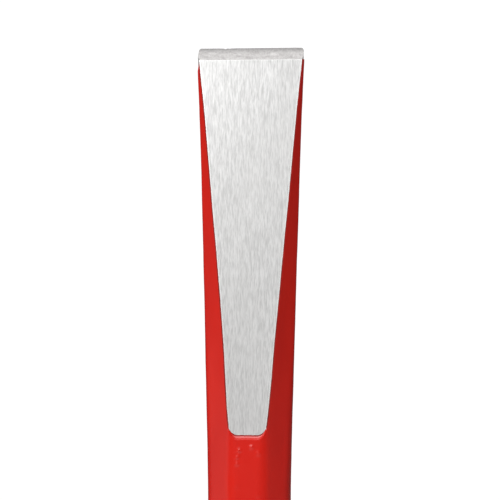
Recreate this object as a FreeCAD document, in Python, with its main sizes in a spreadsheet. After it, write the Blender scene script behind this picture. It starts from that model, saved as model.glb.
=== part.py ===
import FreeCAD, Part
import Sketcher
import math
import os

# A mason's flat cold chisel, 300 x 25.4 x 19 mm, standing on its striking face.
# Millimetres: +Z runs from the striking face (z = 0) up to the cutting edge (z = 300),
# the blade is wide along X and its two ground faces look along -Y and +Y.
#
# It is made the way the real one is. An octagonal bar is forged wider at one end
# (pad and loft), both blade faces and the edge bevels are ground (pocket and mirror),
# the edge's corners are eased, and the head is turned to a cone (groove).
# The enamel is a second solid: the same bar grown by the skin's thickness, cut by
# the same wheel where the steel is bare, less the forging itself.

# Driving dimensions: name in the sheet, millimetres or degrees, what it is.
SIZES = (
    ("overall_length", 300.0, "striking face to cutting edge"),
    ("bar_flats", 19.0, "octagonal bar across its flats"),
    ("blade_width", 25.4, "cutting edge from side to side"),
    ("coat_thickness", 0.2, "enamel skin"),
    ("bevel_height", 2.8, "edge bevel along the blade"),
    ("bevel_half", 1.6, "half the blade's thickness at the foot of the bevel"),
    ("edge_half", 0.2, "half the blunt land left at the cutting edge"),
    ("face_length", 92.5, "flat of the ground face, from the cutting edge"),
    ("face_half", 9.07, "half the thickness where that flat ends"),
    ("shoulder_radius", 1.5, "hollow from the ground face out to the bar"),
    ("shoulder_half", 10.4, "half thickness at which that hollow is clear of the bar"),
    ("coat_overlap", 0.45, "how far the enamel reaches down the shoulder's hollow"),
    ("edge_corner", 0.8, "easing of the edge's two corners"),
    ("head_radius", 7.2, "flat of the striking face"),
    ("head_cone", 35.0, "slope of the head's cone from the axis, in degrees"),
    ("stock_room", 6.0, "how far each cut reaches outside the stock"),
)

# Sections of the forging: name, height above the striking face, spread (0 is the bar
# and 1 the blade), lean of the flanks from the front in degrees, how much further
# out than the bar's the flanks are in mm, corner radius in mm.
SECTIONS = (
    ("neck", 180.0, 0.0, 45.0, 0.0, 4.0),
    ("swell", 195.0, 0.02, 45.5, 0.0, 3.7),
    ("root", 210.0, 0.14, 48.0, -0.25, 3.4),
    ("heel", 230.0, 0.31, 53.0, -0.4, 2.3),
    ("waist", 250.0, 0.47, 56.5, 0.04, 1.5),
    ("cheek", 270.0, 0.625, 59.5, 0.74, 1.0),
    ("flare", 285.0, 0.806, 61.0, 1.36, 0.8),
    ("lip", 300.0, 1.0, 62.0, 2.27, 0.6),
)

SHEET = "Sizes"
FLATS = 8

# Least change of volume, in cubic millimetres, that counts as a step having worked.
LEAST_CHANGE = 1e-3


def cell(name):
    return SHEET + "." + name


def make_sheet(doc):
    sheet = doc.addObject("Spreadsheet::Sheet", SHEET)
    rows = [(name, value) for name, value, _ in SIZES]
    for name, height, spread, lean, swell, corner in SECTIONS:
        rows.append((name + "_height", height))
        rows.append((name + "_spread", spread))
        rows.append((name + "_lean", lean))
        rows.append((name + "_swell", swell))
        rows.append((name + "_corner", corner))
    for row, (name, value) in enumerate(rows, start=1):
        sheet.set("A%d" % row, name)
        sheet.set("B%d" % row, str(value))
        sheet.setAlias("B%d" % row, name)
    doc.recompute()
    return sheet


def origin_plane(body, role):
    for feature in body.Origin.OriginFeatures:
        if feature.Role == role:
            return feature
    raise ValueError(role)


def new_sketch(body, name, role):
    sketch = body.newObject("Sketcher::SketchObject", name)
    sketch.AttachmentSupport = [(origin_plane(body, role), "")]
    sketch.MapMode = "FlatFace"
    return sketch


def bind(sketch, constraint, name, expression):
    """Adds a size to a sketch and ties it to the sheet."""
    index = sketch.addConstraint(constraint)
    sketch.renameConstraint(index, name)
    sketch.setExpression("Constraints." + name, expression)


def bind_point(sketch, edge, end, name, across, along):
    """Places one end of an edge at two signed distances from the sketch's origin."""
    for kind, expression, value in (("X",) + across, ("Y",) + along):
        size = Sketcher.Constraint("Distance" + kind, -1, 1, edge, end, value)
        bind(sketch, size, name + kind, expression)


def octagon_section(body, name, sheet, station, skin):
    """A rounded octagon across the bar at one station, grown by the skin's thickness."""
    half_bar = sheet.bar_flats / 2
    half_gain = (sheet.blade_width - sheet.bar_flats) / 2
    grown = sheet.coat_thickness if skin else 0.0
    plus = " + " + cell("coat_thickness") if skin else ""
    side = half_bar + getattr(sheet, station + "_spread") * half_gain + grown
    side_text = "%s / 2 + %s * (%s - %s) / 2%s" % (
        cell("bar_flats"), cell(station + "_spread"),
        cell("blade_width"), cell("bar_flats"), plus)
    flank = half_bar + getattr(sheet, station + "_swell") + grown
    flank_text = "%s / 2 + %s%s" % (cell("bar_flats"), cell(station + "_swell"), plus)
    front = half_bar + grown
    front_text = "%s / 2%s" % (cell("bar_flats"), plus)
    corner = getattr(sheet, station + "_corner") + grown
    corner_text = cell(station + "_corner") + plus

    lean = math.radians(getattr(sheet, station + "_lean"))
    lean_text = cell(station + "_lean") + " * 1 deg"
    reach = (side, flank, front, flank) * 2
    texts = (side_text, flank_text, front_text, flank_text) * 2
    quarter, half = math.pi / 2, math.pi
    facing = (0, quarter - lean, quarter, quarter + lean,
              half, 3 * quarter - lean, 3 * quarter, 3 * quarter + lean, 2 * half)
    out = [FreeCAD.Vector(math.cos(angle), math.sin(angle), 0) for angle in facing]

    def corner_centre(k):
        """Where flats k and k + 1 meet once both are moved in by the corner's radius."""
        turn = facing[k + 1] - facing[k]
        near, far = reach[k] - corner, reach[(k + 1) % FLATS] - corner
        along = (far - near * math.cos(turn)) / math.sin(turn)
        return out[k] * near + FreeCAD.Vector(-out[k].y, out[k].x, 0) * along

    sketch = new_sketch(body, name, "XY_Plane")
    for k in range(FLATS):
        start = corner_centre((k - 1) % FLATS) + out[k] * corner
        end = corner_centre(k) + out[k] * corner
        sketch.addGeometry(Part.LineSegment(start, end))
    for k in range(FLATS):
        circle = Part.Circle(corner_centre(k), FreeCAD.Vector(0, 0, 1), corner)
        sketch.addGeometry(Part.ArcOfCircle(circle, facing[k], facing[k + 1]))
    for k in range(FLATS):
        arc = FLATS + k
        sketch.addConstraint(Sketcher.Constraint("Tangent", k, 2, arc, 1))
        sketch.addConstraint(Sketcher.Constraint("Tangent", arc, 2, (k + 1) % FLATS, 1))
    for k in (0, 4):
        sketch.addConstraint(Sketcher.Constraint("Vertical", k))
    for k in (2, 6):
        sketch.addConstraint(Sketcher.Constraint("Horizontal", k))
    sketch.addConstraint(Sketcher.Constraint("Parallel", 7, 3))
    sketch.addConstraint(Sketcher.Constraint("Parallel", 5, 1))
    bind(sketch, Sketcher.Constraint("Angle", 7, lean), "leanRight", lean_text)
    bind(sketch, Sketcher.Constraint("Angle", 5, -lean), "leanLeft", "-" + lean_text)
    for arc in range(FLATS + 1, 2 * FLATS):
        sketch.addConstraint(Sketcher.Constraint("Equal", FLATS, arc))
    bind(sketch, Sketcher.Constraint("Radius", FLATS, corner), "corner", corner_text)
    for k in range(FLATS):
        distance = Sketcher.Constraint("Distance", -1, 1, k, reach[k])
        bind(sketch, distance, "flat%d" % k, texts[k])
    return sketch


def straight_bar(body, sheet, skin):
    """Pad of the bar's plain octagon, from the striking face to the neck."""
    neck = SECTIONS[0][0]
    pad = body.newObject("PartDesign::Pad", body.Name + "_shank")
    pad.Profile = octagon_section(body, pad.Name + "_outline", sheet, neck, skin)
    pad.setExpression("Length", cell(neck + "_height"))
    return pad


def forged_end(body, sheet, skin):
    """Loft of the spread end, from the straight bar to the cutting edge."""
    sketches = []
    for station, *_ in SECTIONS:
        name = "%s_%s" % (body.Name, station)
        sketch = octagon_section(body, name, sheet, station, skin)
        sketch.setExpression(".AttachmentOffset.Base.z", cell(station + "_height"))
        sketches.append(sketch)
    loft = body.newObject("PartDesign::AdditiveLoft", body.Name + "_blade")
    loft.Profile = sketches[0]
    loft.Sections = sketches[1:]
    return loft


def through_cut(body, name, sketch):
    """A pocket from the sketch through the whole stock, on both sides."""
    pocket = body.newObject("PartDesign::Pocket", name)
    pocket.Profile = sketch
    pocket.SideType = "Symmetric"
    pocket.setExpression("Length", "2 * (%s + %s)" % (cell("blade_width"), cell("stock_room")))
    return pocket


def mirror(body, name, feature, role):
    mirrored = body.newObject("PartDesign::Mirrored", name)
    mirrored.Originals = [feature]
    mirrored.MirrorPlane = (origin_plane(body, role), [""])
    body.Tip = mirrored
    return mirrored


def add_path(sketch, points):
    """Straight edges joined end to end. Returns the last edge's number."""
    first = sketch.GeometryCount
    for start, end in zip(points, points[1:]):
        sketch.addGeometry(Part.LineSegment(start, end))
    last = sketch.GeometryCount - 1
    for edge in range(first, last):
        sketch.addConstraint(Sketcher.Constraint("Coincident", edge, 2, edge + 1, 1))
    return last


def grind_face(body, sheet, skin):
    """Grinds one blade face and its bevel, seen from the side, then mirrors the cut.

    The cut into the enamel stops short on the shoulder, so a skin is left there."""
    length, room = sheet.overall_length, sheet.stock_room
    short = sheet.coat_overlap if skin else 0.0
    short_text = " + " + cell("coat_overlap") if skin else ""
    radius, clear_half = sheet.shoulder_radius, sheet.shoulder_half
    foot = FreeCAD.Vector(sheet.bevel_half, length - sheet.bevel_height, 0)
    edge = FreeCAD.Vector(sheet.edge_half, length, 0)
    full_heel = FreeCAD.Vector(sheet.face_half, length - sheet.face_length, 0)
    run = (full_heel - foot).normalize()
    heel = full_heel - run * (short / -run.y)
    above = FreeCAD.Vector(sheet.edge_half, length + room, 0)
    centre = heel + FreeCAD.Vector(-run.y, run.x, 0) * radius
    exit_angle = 2 * math.pi - math.acos((clear_half - centre.x) / radius)
    start_angle = math.pi + math.asin(run.x)
    lowest = centre.y + radius * math.sin(exit_angle)
    clear = FreeCAD.Vector(clear_half, lowest, 0)
    outside = FreeCAD.Vector(clear_half + room, lowest, 0)
    corner = FreeCAD.Vector(clear_half + room, length + room, 0)

    sketch = new_sketch(body, body.Name + "_grinding", "YZ_Plane")
    last = add_path(sketch, (clear, outside, corner, above, edge, foot, heel))
    circle = Part.Circle(centre, FreeCAD.Vector(0, 0, 1), radius)
    sketch.addGeometry(Part.ArcOfCircle(circle, start_angle, exit_angle))
    arc = last + 1
    sketch.addConstraint(Sketcher.Constraint("Tangent", last, 2, arc, 1))
    sketch.addConstraint(Sketcher.Constraint("Coincident", arc, 2, 0, 1))
    for edge_number in (0, 2):
        sketch.addConstraint(Sketcher.Constraint("Horizontal", edge_number))
    for edge_number in (1, 3):
        sketch.addConstraint(Sketcher.Constraint("Vertical", edge_number))
    full = cell("overall_length")
    slope_text = "(%s - %s) / (%s - %s)" % (
        cell("face_half"), cell("bevel_half"), cell("face_length"), cell("bevel_height"))
    heel_text = cell("face_half")
    if skin:
        heel_text += " - %s * %s" % (cell("coat_overlap"), slope_text)
    bind_point(sketch, last, 2, "heel", (heel_text, heel.x),
               (full + " - " + cell("face_length") + short_text, heel.y))
    bind_point(sketch, last - 1, 2, "foot", (cell("bevel_half"), foot.x),
               (full + " - " + cell("bevel_height"), foot.y))
    bind_point(sketch, last - 1, 1, "edge", (cell("edge_half"), edge.x), (full, edge.y))
    bind_point(sketch, 2, 1, "outer",
               (cell("shoulder_half") + " + " + cell("stock_room"), corner.x),
               (full + " + " + cell("stock_room"), corner.y))
    bind(sketch, Sketcher.Constraint("Radius", arc, radius), "hollow",
         cell("shoulder_radius"))
    runout = Sketcher.Constraint("DistanceX", -1, 1, arc, 2, clear.x)
    bind(sketch, runout, "runout", cell("shoulder_half"))
    cut = through_cut(body, body.Name + "_face", sketch)
    return cut, mirror(body, body.Name + "_faces", cut, "XZ_Plane")


def ease_edge_corners(body, sheet):
    """Bevels the cutting edge's two corners at 45 degrees, seen from the front."""
    half, length = sheet.blade_width / 2, sheet.overall_length
    ease, room = sheet.edge_corner, sheet.stock_room
    low = FreeCAD.Vector(half + room, length - ease - room, 0)
    outer = FreeCAD.Vector(half + room, length + room, 0)
    inner = FreeCAD.Vector(half - ease - room, length + room, 0)

    sketch = new_sketch(body, "corner_outline", "XZ_Plane")
    add_path(sketch, (low, outer, inner, low))
    sketch.addConstraint(Sketcher.Constraint("Coincident", 2, 2, 0, 1))
    sketch.addConstraint(Sketcher.Constraint("Vertical", 0))
    sketch.addConstraint(Sketcher.Constraint("Horizontal", 1))
    out_text = cell("blade_width") + " / 2 + " + cell("stock_room")
    up_text = cell("overall_length") + " + " + cell("stock_room")
    low_text = "%s - %s - %s" % (
        cell("overall_length"), cell("edge_corner"), cell("stock_room"))
    in_text = "%s / 2 - %s - %s" % (
        cell("blade_width"), cell("edge_corner"), cell("stock_room"))
    bind_point(sketch, 0, 2, "outer", (out_text, outer.x), (up_text, outer.y))
    low_size = Sketcher.Constraint("DistanceY", -1, 1, 0, 1, low.y)
    bind(sketch, low_size, "low", low_text)
    in_size = Sketcher.Constraint("DistanceX", -1, 1, 1, 2, inner.x)
    bind(sketch, in_size, "inner", in_text)
    cut = through_cut(body, "eased_corner", sketch)
    return cut, mirror(body, "both_eased_corners", cut, "YZ_Plane")


def turn_head(body, sheet):
    """Turns the struck end to a cone, leaving a round flat."""
    rise = 1 / math.tan(math.radians(sheet.head_cone))
    low, high = sheet.head_radius - sheet.stock_room / rise, sheet.bar_flats
    start = FreeCAD.Vector(low, -sheet.stock_room, 0)
    end = FreeCAD.Vector(high, (high - sheet.head_radius) * rise, 0)
    under = FreeCAD.Vector(high, -sheet.stock_room, 0)

    sketch = new_sketch(body, body.Name + "_head_outline", "XZ_Plane")
    add_path(sketch, (start, end, under, start))
    sketch.addConstraint(Sketcher.Constraint("Coincident", 2, 2, 0, 1))
    sketch.addConstraint(Sketcher.Constraint("Horizontal", 2))
    rise_text = " / tan(%s * 1 deg)" % cell("head_cone")
    sunk_text = "-" + cell("stock_room")
    low_text = "%s - %s * tan(%s * 1 deg)" % (
        cell("head_radius"), cell("stock_room"), cell("head_cone"))
    high_text = "(%s - %s)%s" % (cell("bar_flats"), cell("head_radius"), rise_text)
    bind_point(sketch, 0, 1, "low", (low_text, start.x), (sunk_text, start.y))
    bind_point(sketch, 0, 2, "high", (cell("bar_flats"), end.x), (high_text, end.y))
    sketch.addConstraint(Sketcher.Constraint("Vertical", 1))
    groove = body.newObject("PartDesign::Groove", body.Name + "_head")
    groove.Profile = sketch
    groove.ReferenceAxis = (sketch, ["V_Axis"])
    groove.Angle = 360
    return groove


def bare_bevel(body, sheet):
    """Takes the skin off the blade's narrow sides beside the bevels."""
    reach = sheet.bar_flats
    foot = sheet.overall_length - sheet.bevel_height
    top = sheet.overall_length + sheet.stock_room
    corners = ((-reach, foot), (reach, foot), (reach, top), (-reach, top), (-reach, foot))
    sketch = new_sketch(body, "bevel_outline", "YZ_Plane")
    add_path(sketch, [FreeCAD.Vector(x, y, 0) for x, y in corners])
    sketch.addConstraint(Sketcher.Constraint("Coincident", 3, 2, 0, 1))
    for edge in (0, 2):
        sketch.addConstraint(Sketcher.Constraint("Horizontal", edge))
    for edge in (1, 3):
        sketch.addConstraint(Sketcher.Constraint("Vertical", edge))
    full = cell("overall_length")
    bind_point(sketch, 0, 1, "low", ("-" + cell("bar_flats"), -reach),
               (full + " - " + cell("bevel_height"), foot))
    bind_point(sketch, 1, 2, "high", (cell("bar_flats"), reach),
               (full + " + " + cell("stock_room"), top))
    return through_cut(body, "bare_bevel", sketch)


def forged_body(doc, sheet):
    """The one steel piece: striking head, octagonal shank and spread blade."""
    body = doc.addObject("PartDesign::Body", "forging")
    steps = [straight_bar(body, sheet, skin=False)]
    steps.append(forged_end(body, sheet, skin=False))
    steps += grind_face(body, sheet, skin=False)
    steps += ease_edge_corners(body, sheet)
    steps.append(turn_head(body, sheet))
    body.Label = "forged_body"
    return body, steps


def red_coat(doc, sheet, forging):
    """The enamel skin over the shank, the shoulders and the blade's sides."""
    grown = doc.addObject("PartDesign::Body", "grown")
    steps = [straight_bar(grown, sheet, skin=True)]
    steps.append(forged_end(grown, sheet, skin=True))
    steps += grind_face(grown, sheet, skin=True)
    steps.append(bare_bevel(grown, sheet))
    steps.append(turn_head(grown, sheet))
    coat = doc.addObject("Part::Cut", "coat")
    coat.Base = grown
    coat.Tool = forging
    coat.Label = "red_coat"
    steps.append(coat)
    return coat, steps


def check_document(doc):
    """Stops the build if any object failed or came out invalid."""
    for thing in doc.Objects:
        if "Invalid" in thing.State or "Error" in thing.State:
            raise RuntimeError("%s failed: %s" % (thing.Name, thing.State))


def check_steps(steps):
    """Each step must add material or take some away."""
    volumes = [step.Shape.Volume for step in steps]
    for step, before, after in zip(steps[1:], volumes, volumes[1:]):
        if abs(after - before) < LEAST_CHANGE:
            raise RuntimeError("%s changed nothing" % step.Name)


def write_part(part):
    shape = part.Shape
    if shape.isNull() or not shape.isValid() or len(shape.Solids) != 1:
        raise RuntimeError("%s is not one valid solid" % part.Label)
    shape.exportStep(os.path.join("parts", part.Label + ".step"))
    print("%s: %.0f mm3" % (part.Label, shape.Volume))


def main():
    doc = FreeCAD.newDocument("flat_chisel")
    sheet = make_sheet(doc)
    forging, forging_steps = forged_body(doc, sheet)
    doc.recompute()
    coat, coat_steps = red_coat(doc, sheet, forging)
    doc.recompute()
    check_document(doc)
    check_steps(forging_steps)
    check_steps(coat_steps)
    os.makedirs("parts", exist_ok=True)
    for part in (forging, coat):
        part.Placement = FreeCAD.Placement()
        write_part(part)


main()
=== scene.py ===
import math

import bmesh
import bpy
import numpy as np
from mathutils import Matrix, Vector


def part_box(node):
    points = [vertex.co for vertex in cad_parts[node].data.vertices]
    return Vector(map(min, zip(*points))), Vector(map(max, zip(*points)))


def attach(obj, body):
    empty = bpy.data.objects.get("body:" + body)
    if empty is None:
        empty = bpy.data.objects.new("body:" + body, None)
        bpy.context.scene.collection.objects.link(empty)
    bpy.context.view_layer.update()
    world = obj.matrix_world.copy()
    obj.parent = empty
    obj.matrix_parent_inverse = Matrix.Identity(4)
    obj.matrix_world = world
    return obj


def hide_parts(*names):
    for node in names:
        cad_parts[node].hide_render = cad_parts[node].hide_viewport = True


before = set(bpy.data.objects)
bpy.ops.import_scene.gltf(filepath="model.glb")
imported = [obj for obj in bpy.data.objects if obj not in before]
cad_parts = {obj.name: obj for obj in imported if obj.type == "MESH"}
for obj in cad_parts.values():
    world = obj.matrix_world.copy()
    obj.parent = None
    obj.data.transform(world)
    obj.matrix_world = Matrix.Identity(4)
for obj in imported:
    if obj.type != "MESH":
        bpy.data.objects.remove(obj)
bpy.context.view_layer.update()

# Sizes in metres, in the CAD frame: +Z up the chisel, blade wide along X, faces to -Y and +Y.
MM = 0.001
FORGING_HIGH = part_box("forged_body")[1]
COAT_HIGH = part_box("red_coat")[1]
LENGTH = FORGING_HIGH[2]
BAR_HALF = FORGING_HIGH[1]
BLADE_HALF = 12.7 * MM
COAT = COAT_HIGH[1] - BAR_HALF

# Sections of the forging: height in mm, spread (0 is the bar, 1 the blade), lean of the
# flanks from the front in degrees, how much further out than the bar's the flanks are
# in mm, corner radius in mm. The last is past the edge, to give the slope there.
SECTIONS = np.array((
    (180.0, 0.0, 45.0, 0.0, 4.0),
    (195.0, 0.02, 45.5, 0.0, 3.7),
    (210.0, 0.14, 48.0, -0.25, 3.4),
    (230.0, 0.31, 53.0, -0.4, 2.3),
    (250.0, 0.47, 56.5, 0.04, 1.5),
    (270.0, 0.625, 59.5, 0.74, 1.0),
    (285.0, 0.806, 61.0, 1.36, 0.8),
    (300.0, 1.0, 62.0, 2.27, 0.6),
    (315.0, 1.194, 63.0, 3.06, 0.4),
))
# Each height takes a weighted mean of the sections within this many mm.
SECTION_EASE = 6.0
FLATS = 8

# The ground face's profile, as distance from the cutting edge and half thickness.
BEVEL_HEIGHT = 2.8 * MM
BEVEL_HALF = 1.6 * MM
EDGE_HALF = 0.2 * MM
FACE_LENGTH = 92.5 * MM
FACE_HALF = 9.07 * MM
FACE_RUN = (FACE_HALF - BEVEL_HALF) / (FACE_LENGTH - BEVEL_HEIGHT)
SHOULDER_RADIUS = 1.5 * MM
SHOULDER_HALF = 10.4 * MM
# The enamel's own cut ends this much higher up the chisel, and goes this much deeper.
COAT_OVERLAP = 0.45 * MM
COAT_SINK = 0.08 * MM
# The flat's lower end has rounded corners, which stop short of a full quarter turn.
FLAT_END_HALF = 4.5 * MM
FLAT_END_CORNER = 2.4 * MM
FLAT_END_SHARE = 0.97

# The cutting edge slopes a little across the blade, and has small nicks in it,
# in mm: across, radius, depth.
EDGE_SLOPE = math.tan(math.radians(0.7))
EDGE_CORNER = 0.8 * MM
NICKS = ((-6.0, 0.45, 0.16), (-5.1, 0.35, 0.06))
# The edge's left end is worn to a slant, in mm from that end: inwards, down.
WORN_END = ((-0.10, 3.1), (0.30, 0.7), (0.45, 0.25))
WORN_WIDTH = 0.75 * MM

# Above this height the left narrow side is bare. The line slopes outwards and down.
BARE_CORNER = 295.0 * MM
BARE_SLOPE = 6.0
BARE_MIDDLE = -12.5 * MM
BARE_DEEPEST = 6 * MM
BARE_HIGHEST = 3 * MM

# The blade came out of the forge turned a little about the axis, from one height to another.
TWIST = math.radians(2.8)
TWIST_LOW = 190 * MM
TWIST_HIGH = 245 * MM

# The struck end.
HEAD_RADIUS = 7.2 * MM
HEAD_CONE = math.radians(35)
HEAD_ROUND = 0.5 * MM
HEAD_TOP = 9 * MM
HEAD_REACH = 20 * MM

# Small lumps in the enamel just under the front face, in mm: across, height, radius, rise.
LUMPS = (
    (1.0, 205.0, 0.75, 0.24),
    (-1.9, 204.2, 0.75, 0.30),
    (-2.4, 202.6, 0.70, 0.28),
    (-2.4, 201.0, 0.70, 0.24),
    (2.6, 203.5, 0.80, 0.20),
    (-2.5, 196.0, 1.3, 0.07),
    (2.6, 193.6, 0.9, 0.09),
)

# Relief of each surface, in mm: distance between bumps, depth, how much longer the
# bumps are along the chisel, seed. The back face's seeds are moved on.
FORGING_RELIEF = ((26, 0.035, 1.6, 3), (6, 0.012, 1.5, 5))
ENAMEL_RELIEF = ((3.2, 0.008, 1, 11), (11, 0.012, 2, 12))
FACE_RELIEF = ((5, 0.008, 9, 21), (1.6, 0.003, 6, 22))
FACE_END_RELIEF = ((7, 0.05, 1e6, 23),)
EDGE_RELIEF = ((2, 0.008, 1, 41),)
BARE_RELIEF = ((3, 0.15, 1, 51),)
BACK_SEEDS = 10
WAVE_COUNT = 28

# The cutting tools reach past the blanks on every side.
CLEAR = 16 * MM
FAR = 18 * MM

# How the finished meshes are cleaned, shaded and told apart.
MERGE = 0.002 * MM
SHARP = math.radians(20)
NEAR_FACE = 0.13 * MM
ALONG_FACE = 0.98
BEVEL_MARGIN = 0.02 * MM

# The camera stands level, away to the chisel's right, and sees this height.
CAMERA_AWAY = 1.4
CAMERA_TURN = math.radians(4.2)
CAMERA_ROLL = math.radians(0.17)
CAMERA_TARGET = (-0.05 * MM, 0, 251.7 * MM)
VIEW_HEIGHT = 119.3 * MM
SENSOR_WIDTH = 36

# Rectangular lights, all aimed at the blade: name, place, width, height, watts.
LIGHT_TARGET = (0, 0, 0.25)
LIGHTS = (
    ("key", (-0.19, -0.66, 0.82), 0.6, 0.55, 8.8),
    ("left", (-0.62, -0.05, 0.30), 0.4, 0.6, 0.35),
    ("right", (0.62, -0.05, 0.30), 0.4, 0.6, 0.09),
    ("back", (0.12, 0.50, 1.00), 0.6, 0.4, 6.0),
    ("top", (0.0, -0.25, 0.95), 0.5, 0.3, 0.6),
)
FLOOR_HALF = 1.6
FLOOR_THICKNESS = 0.02
AMBIENT = 0.04
SURROUND = 1.05


def waves(points, length, seed, stretch):
    """Smooth seeded noise from -1 to 1 or so, with bumps about `length` apart."""
    rng = np.random.default_rng(seed)
    way = rng.normal(size=(WAVE_COUNT, 3))
    way /= np.linalg.norm(way, axis=1)[:, None]
    rate = 2 * math.pi / length * rng.uniform(0.5, 1.5, WAVE_COUNT)
    phase = rng.uniform(0, 2 * math.pi, WAVE_COUNT)
    scaled = points / np.array(stretch)
    total = np.cos(scaled @ (way * rate[:, None]).T + phase).sum(axis=-1)
    return total / math.sqrt(WAVE_COUNT)


def bump(distance, radius):
    """1 at the centre, falling smoothly to 0 at the radius."""
    share = np.clip(1 - (distance / radius) ** 2, 0, 1)
    return share * share


def section_sizes(z):
    """Spread, lean, swell and corner radius at each height, eased between the sections."""
    ease = np.linspace(-SECTION_EASE, SECTION_EASE, 9)
    weight = SECTION_EASE * 1.25 - np.abs(ease)
    weight /= weight.sum()
    columns = []
    for column in SECTIONS[:, 1:].T:
        near = np.interp(z[:, None] / MM + ease, SECTIONS[:, 0], column)
        columns.append(near @ weight)
    return columns


def face_profile(from_edge, short=0.0):
    """Half thickness between the two ground faces, at a distance from the edge.

    `short` stops the flat earlier, as the enamel on the shoulder does."""
    flat_end = FACE_LENGTH - short
    tilt = math.atan(FACE_RUN)
    sunk = SHOULDER_RADIUS * math.sin(tilt) + np.maximum(from_edge - flat_end, 0)
    hollow = np.sqrt(np.maximum(SHOULDER_RADIUS**2 - sunk**2, 0))
    centre = FACE_HALF - short * FACE_RUN + SHOULDER_RADIUS * math.cos(tilt)
    half = BEVEL_HALF + (from_edge - BEVEL_HEIGHT) * FACE_RUN
    half = np.where(from_edge > flat_end, centre - hollow, half)
    bevel = EDGE_HALF + from_edge * (BEVEL_HALF - EDGE_HALF) / BEVEL_HEIGHT
    half = np.where(from_edge < BEVEL_HEIGHT, bevel, half)
    return np.maximum(half, EDGE_HALF)


def end_lift(x):
    """How much higher the flat ends towards its rounded lower corners."""
    most = FLAT_END_SHARE * FLAT_END_CORNER
    past = np.clip(np.abs(x) - FLAT_END_HALF + FLAT_END_CORNER, 0, most)
    return FLAT_END_CORNER - np.sqrt(FLAT_END_CORNER**2 - past**2)


def edge_height(x):
    """The cutting edge's height: it slopes a little across the blade."""
    return LENGTH - EDGE_SLOPE * (BLADE_HALF - x)


def outline(levels, per_flat, per_corner):
    """Points and outward directions round the rounded octagon at each level."""
    spread, lean, swell, corner = section_sizes(levels)
    lean = np.radians(lean)
    corner = corner * MM
    side = BAR_HALF + spread * (BLADE_HALF - BAR_HALF)
    flank = BAR_HALF + swell * MM
    front = np.full_like(side, BAR_HALF)
    reach = (side, flank, front, flank) * 2
    none, quarter = np.zeros_like(lean), math.pi / 2
    facing = [none, quarter - lean, none + quarter, quarter + lean]
    facing += [angle + 2 * quarter for angle in facing] + [none + 4 * quarter]

    def way(angle):
        return np.stack((np.cos(angle), np.sin(angle)), axis=1)

    def centre(k):
        k %= FLATS
        turn = facing[k + 1] - facing[k]
        near = reach[k] - corner
        far = reach[(k + 1) % FLATS] - corner
        along = (far - near * np.cos(turn)) / np.sin(turn)
        out = way(facing[k])
        beside = np.stack((-out[:, 1], out[:, 0]), axis=1)
        return near[:, None] * out + along[:, None] * beside

    points, ways = [], []
    for k in range(FLATS):
        out = way(facing[k])
        start = centre(k - 1) + corner[:, None] * out
        end = centre(k) + corner[:, None] * out
        for step in range(per_flat):
            points.append(start + (end - start) * step / per_flat)
            ways.append(out)
        for step in range(per_corner):
            out = way(facing[k] + (facing[k + 1] - facing[k]) * step / per_corner)
            points.append(centre(k) + corner[:, None] * out)
            ways.append(out)
    points = np.stack(points, axis=1)
    ways = np.stack(ways, axis=1)
    height = np.broadcast_to(levels[:, None, None], points.shape[:2] + (1,))
    points = np.concatenate((points, height), axis=2)
    ways = np.concatenate((ways, np.zeros_like(height)), axis=2)
    return points, ways


def levels_between(*stretches):
    """Heights from stretches of (low, high, step) in mm, each end kept once."""
    parts = []
    for low, high, step in stretches:
        count = max(1, round((high - low) / step))
        parts.append(np.linspace(low, high, count, endpoint=False))
    parts.append([stretches[-1][1]])
    return np.concatenate(parts) * MM


def new_object(name, verts, faces):
    """A mesh object with its faces turned outwards."""
    mesh = bpy.data.meshes.new(name)
    mesh.from_pydata([tuple(v) for v in verts], [], faces)
    obj = bpy.data.objects.new(name, mesh)
    bpy.context.scene.collection.objects.link(obj)
    work = bmesh.new()
    work.from_mesh(mesh)
    bmesh.ops.recalc_face_normals(work, faces=work.faces)
    work.to_mesh(mesh)
    work.free()
    return obj


def tube(name, rings):
    """A closed solid from rings of points, capped at both ends."""
    rows, round_count = rings.shape[:2]
    faces = []
    for row in range(rows - 1):
        for k in range(round_count):
            low, high = row * round_count, (row + 1) * round_count
            after = (k + 1) % round_count
            faces.append((low + k, low + after, high + after, high + k))
    faces.append(tuple(range(round_count)))
    faces.append(tuple(range((rows - 1) * round_count, rows * round_count)))
    return new_object(name, rings.reshape(-1, 3), faces)


def slab(name, grid, push):
    """A closed solid between a grid of points and the same grid pushed away."""
    rows, columns = grid.shape[:2]
    near = grid.reshape(-1, 3)
    far = near + np.array(push)
    shift = len(near)
    faces = []
    for row in range(rows - 1):
        for column in range(columns - 1):
            a = row * columns + column
            b = a + columns
            faces.append((a, a + 1, b + 1, b))
            faces.append((a + shift, b + shift, b + 1 + shift, a + 1 + shift))
    rim = list(range(columns))
    rim += [row * columns + columns - 1 for row in range(1, rows)]
    rim += [(rows - 1) * columns + k for k in range(columns - 2, -1, -1)]
    rim += [row * columns for row in range(rows - 2, 0, -1)]
    for here, there in zip(rim, rim[1:] + rim[:1]):
        faces.append((here, there, there + shift, here + shift))
    return new_object(name, np.concatenate((near, far)), faces)


def flat_square(half):
    """The four corners of a square on the floor, as a grid."""
    x, y = np.meshgrid((-half, half), (-half, half), indexing="ij")
    return np.stack((x, y, np.zeros_like(x)), axis=-1)


def ring_solid(name, rings):
    """A closed ring from profiles set round the axis."""
    turns, count = rings.shape[:2]
    faces = []
    for turn in range(turns):
        for k in range(count):
            here, there = turn * count, (turn + 1) % turns * count
            after = (k + 1) % count
            faces.append((here + k, here + after, there + after, there + k))
    return new_object(name, rings.reshape(-1, 3), faces)


def relief(points, layers, more_seed=0):
    """How far a surface stands off its plain shape, as the sum of layers of waves."""
    total = 0
    for spacing, depth, along, seed in layers:
        total += waves(points, spacing * MM, seed + more_seed, (1, 1, along)) * depth * MM
    return total


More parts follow.
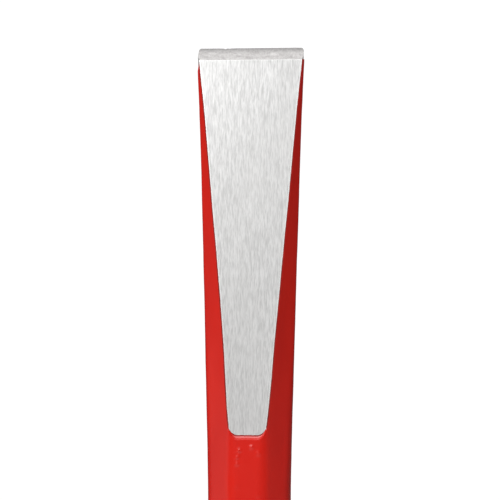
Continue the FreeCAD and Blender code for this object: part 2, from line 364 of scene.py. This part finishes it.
def enamel_flow(points):
    """Relief of the enamel, with its lumps on the front."""
    flow = relief(points, ENAMEL_RELIEF)
    front = points[..., 1] < -0.9 * BAR_HALF
    for across, height, radius, rise in LUMPS:
        apart = np.hypot(points[..., 0] - across * MM, points[..., 2] - height * MM)
        flow += bump(apart, radius * MM) * rise * MM * front
    return flow


def forging_blank():
    """The forged bar under the enamel, longer than the chisel at both ends."""
    levels = levels_between((-1, 185, 1.5), (185, 216, 0.6), (216, 301.5, 0.9))
    points, ways = outline(levels, 6, 4)
    rings = points + ways * relief(points, FORGING_RELIEF)[..., None]
    return tube("forging_blank", rings)


def enamel_blank():
    """The outside of the enamel, from the head's cone to the foot of the bevel."""
    top = (LENGTH - BEVEL_HEIGHT) / MM
    levels = levels_between(
        (1.5, 8, 0.6), (8, 188, 1.4), (188, 205, 0.45), (205, 213, 0.2), (213, top, 0.8))
    points, ways = outline(levels, 12, 6)
    grown = COAT + relief(points, FORGING_RELIEF) + enamel_flow(points)
    return tube("enamel_blank", points + ways * grown[..., None])


def face_cutter(name, side, short=0.0, sink=0.0):
    """What the grinding takes off one side (-1 front, 1 back): face and edge bevel.

    The enamel's stops `short` on the shoulder, and is sunk under the steel's flat so
    that no sliver of enamel stays on it."""
    across = np.linspace(-CLEAR, CLEAR, 129)
    short = short + end_lift(across)
    flat_end = FACE_LENGTH - short
    tilt = math.atan(FACE_RUN)
    centre = FACE_HALF - short * FACE_RUN + SHOULDER_RADIUS * math.cos(tilt)
    steepest = np.arccos((centre - SHOULDER_HALF) / SHOULDER_RADIUS)
    rows = [np.full_like(across, -6 * MM)]
    rows += [np.full_like(across, down) for down in np.linspace(0, BEVEL_HEIGHT, 9)]
    for share in np.linspace(0, 1, 171)[1:]:
        rows.append(BEVEL_HEIGHT + share * (flat_end - BEVEL_HEIGHT))
    for share in np.linspace(0, 1, 15)[1:]:
        turn = tilt + share * (steepest - tilt)
        rows.append(flat_end + SHOULDER_RADIUS * (np.sin(turn) - math.sin(tilt)))
    down = np.array(rows)
    x = np.broadcast_to(across, down.shape)
    half = face_profile(down, short)
    if sink:
        half = np.where(down < flat_end, half - sink, half)
    grid = np.stack((x, side * half, edge_height(x) - down), axis=-1)
    more_seed = 0 if side < 0 else BACK_SEEDS
    # Passes of the wheel run along the blade.
    passes = relief(grid, FACE_RELIEF, more_seed)
    grid[..., 1] += side * passes * (down > EDGE_HALF)
    # The wheel leaves the bar along a line that isn't quite straight.
    wander = relief(grid, FACE_END_RELIEF, more_seed)
    grid[..., 2] += wander * (down > flat_end - 1 * MM)
    return slab(name, grid, (0, side * 14 * MM, 0))


def edge_cutter():
    """Trims the cutting edge: its slope, its nicks and its corners.

    The right corner is eased, and the left one is worn down to a slant."""
    left, right = -BLADE_HALF, BLADE_HALF
    across = np.linspace(left + WORN_WIDTH, right - EDGE_CORNER, 90)
    flat = np.stack((across, edge_height(across)), axis=1)
    for middle, radius, depth in NICKS:
        flat[:, 1] -= bump(across - middle * MM, radius * MM) * depth * MM
    along = np.stack((across, across * 0, across * 0), axis=1)
    flat[:, 1] += relief(along, EDGE_RELIEF)
    angle = np.linspace(math.pi / 2, 0, 9)[1:]
    eased_x = right - EDGE_CORNER + EDGE_CORNER * np.cos(angle)
    eased_z = edge_height(right) - EDGE_CORNER + EDGE_CORNER * np.sin(angle)
    eased = np.stack((eased_x, eased_z), axis=1)
    top = edge_height(left)
    slant = np.array([(left + inward * MM, top - down * MM) for inward, down in WORN_END])
    high, low = LENGTH + 6 * MM, LENGTH - EDGE_CORNER
    outside = np.array(((FAR, low), (FAR, high), (-FAR, high), (-FAR, slant[0, 1])))
    path = np.concatenate((slant, flat, eased, outside))
    turns = np.stack([
        np.stack((path[:, 0], np.full(len(path), y), path[:, 1]), axis=1)
        for y in (-12 * MM, 12 * MM)
    ])
    return tube("edge_cutter", turns)


def head_cutter():
    """Turns the struck end to a cone with a rounded rim."""
    steepness = 1 / math.tan(HEAD_CONE)
    rings = []
    for turn in np.linspace(0, 2 * math.pi, 128, endpoint=False):
        wander = 0.04 * MM * math.sin(3 * turn + 1) + 0.02 * MM * math.sin(7 * turn)
        rim = HEAD_RADIUS + wander
        inner = [(rim - HEAD_ROUND, -2 * MM), (rim - HEAD_ROUND, 0)]
        for share in (0.25, 0.5, 0.75, 1.0):
            lean = share * (math.pi / 2 - HEAD_CONE)
            inner.append((
                rim - HEAD_ROUND + HEAD_ROUND * math.sin(lean),
                HEAD_ROUND * (1 - math.cos(lean))))
        low_r, low_z = inner[-1]
        for share in np.linspace(0.1, 1, 10):
            z = low_z + (HEAD_TOP - low_z) * share
            inner.append((low_r + (z - low_z) / steepness, z))
        profile = inner + [(HEAD_REACH, HEAD_TOP), (HEAD_REACH, -2 * MM)]
        rings.append([(r * math.cos(turn), r * math.sin(turn), z) for r, z in profile])
    return ring_solid("head_cutter", np.array(rings))


def foot_cutter():
    """Leaves the striking face flat on the floor."""
    return slab("foot_cutter", flat_square(FAR), (0, 0, -4 * MM))


def corner_cutter():
    """Bares the left end of the edge, where the wheel took the enamel off the side."""
    across = np.linspace(-CLEAR, -10 * MM, 25)
    through = np.linspace(-CLEAR, CLEAR, 33)
    x, y = np.meshgrid(across, through, indexing="ij")
    slant = np.clip(BARE_SLOPE * (x - BARE_MIDDLE), -BARE_DEEPEST, BARE_HIGHEST)
    low = BARE_CORNER + slant + relief(np.stack((y, y, y), axis=-1), BARE_RELIEF)
    return slab("corner_cutter", np.stack((x, y, low), axis=-1), (0, 0, 9 * MM))


def cut(obj, *tools):
    """Takes the tools' volumes out of an object for good."""
    for tool in tools:
        step = obj.modifiers.new("cut", "BOOLEAN")
        step.operation = "DIFFERENCE"
        step.solver = "MANIFOLD"
        step.object = tool
    shown = obj.evaluated_get(bpy.context.evaluated_depsgraph_get())
    mesh = bpy.data.meshes.new_from_object(shown)
    obj.modifiers.clear()
    obj.data = mesh


def finish_mesh(obj, materials, choose):
    """Cleans the mesh, sets each face's material and marks its sharp edges.

    `choose` gives a material's place in `materials` for a face's centre and normal."""
    obj.data.materials.clear()
    for material in materials:
        obj.data.materials.append(material)
    work = bmesh.new()
    work.from_mesh(obj.data)
    bmesh.ops.remove_doubles(work, verts=work.verts, dist=MERGE)
    bmesh.ops.dissolve_degenerate(work, edges=work.edges, dist=MERGE)
    bmesh.ops.triangulate(work, faces=[f for f in work.faces if len(f.verts) > 4])
    for face in work.faces:
        face.smooth = True
        face.material_index = choose(face.calc_center_median(), face.normal)
    for edge in work.edges:
        edge.smooth = edge.calc_face_angle(math.pi) < SHARP
    work.to_mesh(obj.data)
    work.free()


def over_face(spot):
    """How far a point stands above the ground face, and the face's lean there."""
    step = 0.1 * MM
    from_edge = edge_height(spot.x) - spot.z
    here = np.array((from_edge, from_edge + step))
    half, ahead = face_profile(here, end_lift(spot.x))
    return abs(spot.y) - half, (ahead - half) / step


def is_ground(spot, normal):
    """True on the flat that the wheel left, and on the enamel's cut edge in it."""
    from_edge = edge_height(spot.x) - spot.z
    if not 0 < from_edge < FACE_LENGTH + 3 * MM:
        return False
    above, lean = over_face(spot)
    way = Vector((0, math.copysign(1, spot.y), lean)).normalized()
    return abs(above) < NEAR_FACE and normal.dot(way) > ALONG_FACE


def is_bevel(spot):
    """True between the cutting edge and the foot of its bevel."""
    return edge_height(spot.x) - spot.z < BEVEL_HEIGHT + BEVEL_MARGIN


def twist(obj):
    """Turns the blade about the axis, as the forge left it."""
    for vertex in obj.data.vertices:
        spot = vertex.co
        share = min(max((spot.z - TWIST_LOW) / (TWIST_HIGH - TWIST_LOW), 0), 1)
        turn = TWIST * share * share * (3 - 2 * share)
        vertex.co = (
            spot.x * math.cos(turn) - spot.y * math.sin(turn),
            spot.x * math.sin(turn) + spot.y * math.cos(turn),
            spot.z,
        )


# ---------------------------------------------------------------- materials


class Nodes:
    """Short names for building a material's node tree."""

    def __init__(self, name):
        self.material = bpy.data.materials.new(name)
        self.material.use_nodes = True
        self.tree = self.material.node_tree
        self.shader = self.tree.nodes["Principled BSDF"]
        self.place = self.add("ShaderNodeTexCoord").outputs["Object"]

    def add(self, kind, **settings):
        """A new node with its settings."""
        node = self.tree.nodes.new(kind)
        for key, value in settings.items():
            setattr(node, key, value)
        return node

    def link(self, source, target):
        """Joins an output to an input."""
        self.tree.links.new(source, target)

    def stretched(self, scale):
        """The object's own coordinates, scaled along each axis."""
        node = self.add("ShaderNodeMapping")
        node.inputs["Scale"].default_value = scale
        self.link(self.place, node.inputs["Vector"])
        return node.outputs["Vector"]

    def noise(self, scale, detail, roughness):
        """Noise with `scale` bumps to the metre along each axis."""
        node = self.add("ShaderNodeTexNoise")
        node.inputs["Scale"].default_value = 1.0
        node.inputs["Detail"].default_value = detail
        node.inputs["Roughness"].default_value = roughness
        self.link(self.stretched(scale), node.inputs["Vector"])
        return node.outputs["Fac"]

    def span(self, value, low, high, to_low, to_high):
        """The value, moved from one range to another and held within it."""
        node = self.add("ShaderNodeMapRange")
        limits = ("From Min", "From Max", "To Min", "To Max")
        for name, limit in zip(limits, (low, high, to_low, to_high)):
            node.inputs[name].default_value = limit
        self.link(value, node.inputs["Value"])
        return node.outputs["Result"]

    def math(self, operation, one, two):
        """A sum, difference or product of two values."""
        node = self.add("ShaderNodeMath", operation=operation)
        for socket, value in zip(node.inputs, (one, two)):
            if isinstance(value, float):
                socket.default_value = value
            else:
                self.link(value, socket)
        return node.outputs["Value"]

    def mix(self, factor, one, two):
        """A blend of two colours."""
        node = self.add("ShaderNodeMix", data_type="RGBA")
        # The node's factor and its two colour sockets.
        sockets = (node.inputs[0], node.inputs[6], node.inputs[7])
        for socket, value in zip(sockets, (factor, one, two)):
            if isinstance(value, (float, tuple)):
                socket.default_value = value
            else:
                self.link(value, socket)
        return node.outputs[2]

    def bump(self, height, distance, strength, under=None):
        """A normal for relief of a height of `distance`, on top of the one under it."""
        node = self.add("ShaderNodeBump")
        node.inputs["Strength"].default_value = strength
        node.inputs["Distance"].default_value = distance
        self.link(height, node.inputs["Height"])
        if under is not None:
            self.link(under, node.inputs["Normal"])
        return node.outputs["Normal"]

    def below_edge(self):
        """How far a point lies under the sloping cutting edge."""
        parts = self.add("ShaderNodeSeparateXYZ")
        self.link(self.place, parts.inputs["Vector"])
        slope = self.math("MULTIPLY", parts.outputs["X"], EDGE_SLOPE)
        top = self.math("ADD", slope, LENGTH - EDGE_SLOPE * BLADE_HALF)
        return self.math("SUBTRACT", top, parts.outputs["Z"])

    def painted_edge_highlight(self, radius):
        """1 along the piece's sharp edges, 0 from a radius away: the mask for a painted edge
        highlight.
        """
        bevel = self.add("ShaderNodeBevel", samples=6)
        bevel.inputs["Radius"].default_value = radius
        flat = self.add("ShaderNodeNewGeometry").outputs["True Normal"]
        dot = self.add("ShaderNodeVectorMath", operation="DOT_PRODUCT")
        self.link(bevel.outputs["Normal"], dot.inputs[0])
        self.link(flat, dot.inputs[1])
        return self.span(dot.outputs["Value"], 0.997, 0.982, 0.0, 1.0)

    def set(self, **values):
        """Sets the shader's own sockets, by name."""
        for name, value in values.items():
            socket = self.shader.inputs[name.replace("_", " ")]
            if isinstance(value, (float, int, tuple)):
                socket.default_value = value
            else:
                self.link(value, socket)


def ground_steel():
    """Bright satin steel, with short streaks left by the grinding along the blade, and a painted
    highlight along its sharp edges.
    """
    n = Nodes("ground_steel")
    streak = n.noise((2500, 2500, 250), 3.0, 0.65)
    hair = n.noise((5200, 5200, 420), 2.0, 0.5)
    cloud = n.noise((120, 120, 45), 2.0, 0.5)
    tone = n.math("ADD", n.math("MULTIPLY", streak, 0.65), n.math("MULTIPLY", hair, 0.35))
    grain = n.span(tone, 0.39, 0.61, 0.0, 1.0)
    colour = n.mix(grain, (0.58, 0.577, 0.572, 1), (0.83, 0.827, 0.822, 1))
    colour = n.mix(n.span(cloud, 0.3, 0.7, 0.0, 0.35), colour, (0.69, 0.685, 0.675, 1))
    # Painted highlight: the colour goes near white along the sharp edges, for the bright rim of
    # light they catch.
    colour = n.mix(n.painted_edge_highlight(0.5 * MM), colour, (1.0, 1.0, 0.99, 1))
    rough = n.span(tone, 0.3, 0.7, 0.57, 0.45)
    low = n.bump(streak, 0.010 * MM, 0.5)
    normal = n.bump(hair, 0.005 * MM, 0.5, low)
    n.set(Base_Color=colour, Metallic=1.0, Roughness=rough, Normal=normal, Anisotropic=0.3)
    return n.material


def bevel_steel():
    """The edge bevel, ground finer and greyer, with small pits, and darker towards the cutting
    edge.
    """
    n = Nodes("bevel_steel")
    speck = n.noise((2600, 2600, 2600), 3.0, 0.65)
    cross = n.noise((500, 500, 3200), 2.0, 0.5)
    tone = n.math("ADD", n.math("MULTIPLY", speck, 0.6), n.math("MULTIPLY", cross, 0.4))
    grain = n.span(tone, 0.36, 0.62, 0.0, 1.0)
    colour = n.mix(grain, (0.39, 0.379, 0.374, 1), (0.53, 0.518, 0.513, 1))
    # The colour goes darker within about a millimetre of the cutting edge.
    edge_darkening = n.span(n.below_edge(), 0.1 * MM, 1.3 * MM, 0.75, 0.0)
    colour = n.mix(edge_darkening, colour, (0.22, 0.215, 0.215, 1))
    rough = n.span(tone, 0.3, 0.7, 0.72, 0.62)
    normal = n.bump(speck, 0.02 * MM, 0.5)
    n.set(Base_Color=colour, Metallic=1.0, Roughness=rough, Normal=normal)
    return n.material


def head_steel():
    """The turned and struck end, with rings on its cone and light hammer marks."""
    n = Nodes("head_steel")
    rings = n.noise((90, 90, 3600), 2.0, 0.5)
    marks = n.noise((420, 420, 420), 3.0, 0.6)
    grain = n.noise((2400, 2400, 2400), 2.0, 0.5)
    tone = n.math("ADD", n.math("MULTIPLY", rings, 0.5), n.math("MULTIPLY", marks, 0.5))
    shade = n.span(tone, 0.35, 0.65, 0.0, 1.0)
    colour = n.mix(shade, (0.36, 0.35, 0.34, 1), (0.60, 0.59, 0.57, 1))
    rough = n.span(tone, 0.3, 0.7, 0.55, 0.38)
    low = n.bump(rings, 0.02 * MM, 0.6)
    normal = n.bump(grain, 0.008 * MM, 0.5, low)
    n.set(Base_Color=colour, Metallic=1.0, Roughness=rough, Normal=normal)
    return n.material


def forged_steel():
    """Bare forged steel, on the blade's narrow sides past the enamel."""
    n = Nodes("forged_steel")
    scale = n.noise((900, 900, 900), 4.0, 0.6)
    shade = n.span(scale, 0.35, 0.65, 0.0, 1.0)
    colour = n.mix(shade, (0.28, 0.27, 0.26, 1), (0.50, 0.49, 0.48, 1))
    rough = n.span(scale, 0.3, 0.7, 0.6, 0.45)
    normal = n.bump(scale, 0.02 * MM, 0.6)
    n.set(Base_Color=colour, Metallic=1.0, Roughness=rough, Normal=normal)
    return n.material


def red_enamel():
    """Glossy red enamel with orange peel and a few dust nibs."""
    n = Nodes("red_enamel")
    cloud = n.noise((70, 70, 35), 3.0, 0.55)
    peel = n.noise((700, 700, 500), 2.0, 0.5)
    dust = n.noise((1500, 1500, 1500), 1.0, 0.5)
    shade = n.span(cloud, 0.3, 0.7, 0.0, 1.0)
    colour = n.mix(shade, (0.58, 0.008, 0.003, 1), (0.66, 0.014, 0.006, 1))
    nib = n.span(dust, 0.74, 0.80, 0.0, 1.0)
    rough = n.span(cloud, 0.3, 0.7, 0.36, 0.28)
    low = n.bump(peel, 0.02 * MM, 0.35)
    normal = n.bump(nib, 0.02 * MM, 0.6, low)
    n.set(Base_Color=colour, Roughness=rough, Normal=normal, IOR=1.45)
    n.set(Coat_Weight=0.06, Coat_Roughness=0.2, Coat_IOR=1.5)
    return n.material


def cut_enamel():
    """The enamel's cut edge, darkened by the wheel."""
    n = Nodes("cut_enamel")
    burn = n.noise((1300, 1300, 700), 2.0, 0.5)
    shade = n.span(burn, 0.35, 0.65, 0.0, 1.0)
    colour = n.mix(shade, (0.20, 0.010, 0.008, 1), (0.34, 0.018, 0.014, 1))
    n.set(Base_Color=colour, Roughness=0.7, IOR=1.25)
    return n.material


# ------------------------------------------------------------------- pieces


def make_chisel():
    """Both visible pieces: the forging, and the enamel left on it by the wheel."""
    ground, bevel, head_end, bare = range(4)
    skin, cut_skin = range(2)
    steel = forging_blank()
    steel.name = "steel_forging"
    paint = enamel_blank()
    paint.name = "red_paint"
    head, edge, foot, worn = head_cutter(), edge_cutter(), foot_cutter(), corner_cutter()
    steel_faces = [face_cutter("steel_face", side) for side in (-1, 1)]
    paint_faces = [face_cutter("paint_face", side, COAT_OVERLAP, COAT_SINK) for side in (-1, 1)]
    cut(steel, *steel_faces)
    cut(paint, steel, *paint_faces, head, edge, worn)
    cut(steel, head, edge, foot)
    for tool in (*steel_faces, *paint_faces, head, edge, foot, worn):
        bpy.data.objects.remove(tool)

    def steel_choice(spot, normal):
        if spot.z < HEAD_TOP:
            return head_end
        if is_bevel(spot):
            return bevel
        worn_corner = spot.x < 0 and spot.z > BARE_CORNER
        return ground if worn_corner or is_ground(spot, normal) else bare

    def paint_choice(spot, normal):
        return cut_skin if is_ground(spot, normal) else skin

    finish_mesh(steel, (ground_steel(), bevel_steel(), head_steel(), forged_steel()), steel_choice)
    finish_mesh(paint, (red_enamel(), cut_enamel()), paint_choice)
    twist(steel)
    twist(paint)
    return steel, paint


steel, paint = make_chisel()
for piece, node, slot in (
    (steel, "forged_body", "bare_steel"),
    (paint, "red_coat", "red_enamel"),
):
    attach(piece, "root")
    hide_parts(node)


# -------------------------------------------------------------------- stage


def aim(obj, place, target, roll=0.0):
    """Puts a light or a camera at its place and turns it to its target."""
    obj.location = place
    way = Vector(target) - Vector(place)
    obj.rotation_euler = way.to_track_quat("-Z", "Y").to_euler()
    obj.rotation_euler.rotate_axis("Z", roll)


def soft_light(name, place, width, height, power):
    """A white rectangular light that faces the blade."""
    light = bpy.data.lights.new(name, "AREA")
    light.shape = "RECTANGLE"
    light.size = width
    light.size_y = height
    light.energy = power
    obj = bpy.data.objects.new(name, light)
    bpy.context.scene.collection.objects.link(obj)
    aim(obj, place, LIGHT_TARGET)


def make_floor():
    """A plain pale floor under the striking face."""
    floor = slab("floor", flat_square(FLOOR_HALF), (0, 0, -FLOOR_THICKNESS))
    n = Nodes("pale_floor")
    n.set(Base_Color=(0.82, 0.82, 0.81, 1), Roughness=0.7)
    n.set(Emission_Color=(1, 1, 1, 1), Emission_Strength=0.05)
    floor.data.materials.append(n.material)


def make_world():
    """Soft even light, and a white surround to look at."""
    world = bpy.data.worlds.new("studio")
    world.use_nodes = True
    tree = world.node_tree
    light = tree.nodes["Background"]
    light.inputs["Color"].default_value = (1, 1, 1, 1)
    light.inputs["Strength"].default_value = AMBIENT
    white = tree.nodes.new("ShaderNodeBackground")
    white.inputs["Color"].default_value = (1, 1, 1, 1)
    white.inputs["Strength"].default_value = SURROUND
    seen = tree.nodes.new("ShaderNodeLightPath")
    mix = tree.nodes.new("ShaderNodeMixShader")
    tree.links.new(seen.outputs["Is Camera Ray"], mix.inputs[0])
    tree.links.new(light.outputs[0], mix.inputs[1])
    tree.links.new(white.outputs[0], mix.inputs[2])
    tree.links.new(mix.outputs[0], tree.nodes["World Output"].inputs["Surface"])
    bpy.context.scene.world = world


def make_camera():
    """A long lens, level with the blade and a little to the chisel's right."""
    target = Vector(CAMERA_TARGET)
    data = bpy.data.cameras.new("camera")
    data.sensor_width = SENSOR_WIDTH
    data.lens = SENSOR_WIDTH * CAMERA_AWAY / VIEW_HEIGHT
    camera = bpy.data.objects.new("camera", data)
    bpy.context.scene.collection.objects.link(camera)
    place = target + Vector((math.sin(CAMERA_TURN), -math.cos(CAMERA_TURN), 0)) * CAMERA_AWAY
    aim(camera, place, target, CAMERA_ROLL)
    bpy.context.scene.camera = camera


make_floor()
make_world()
make_camera()
for light_name, light_place, light_width, light_height, watts in LIGHTS:
    soft_light(light_name, light_place, light_width, light_height, watts)
bpy.context.scene.view_settings.view_transform = "Standard"
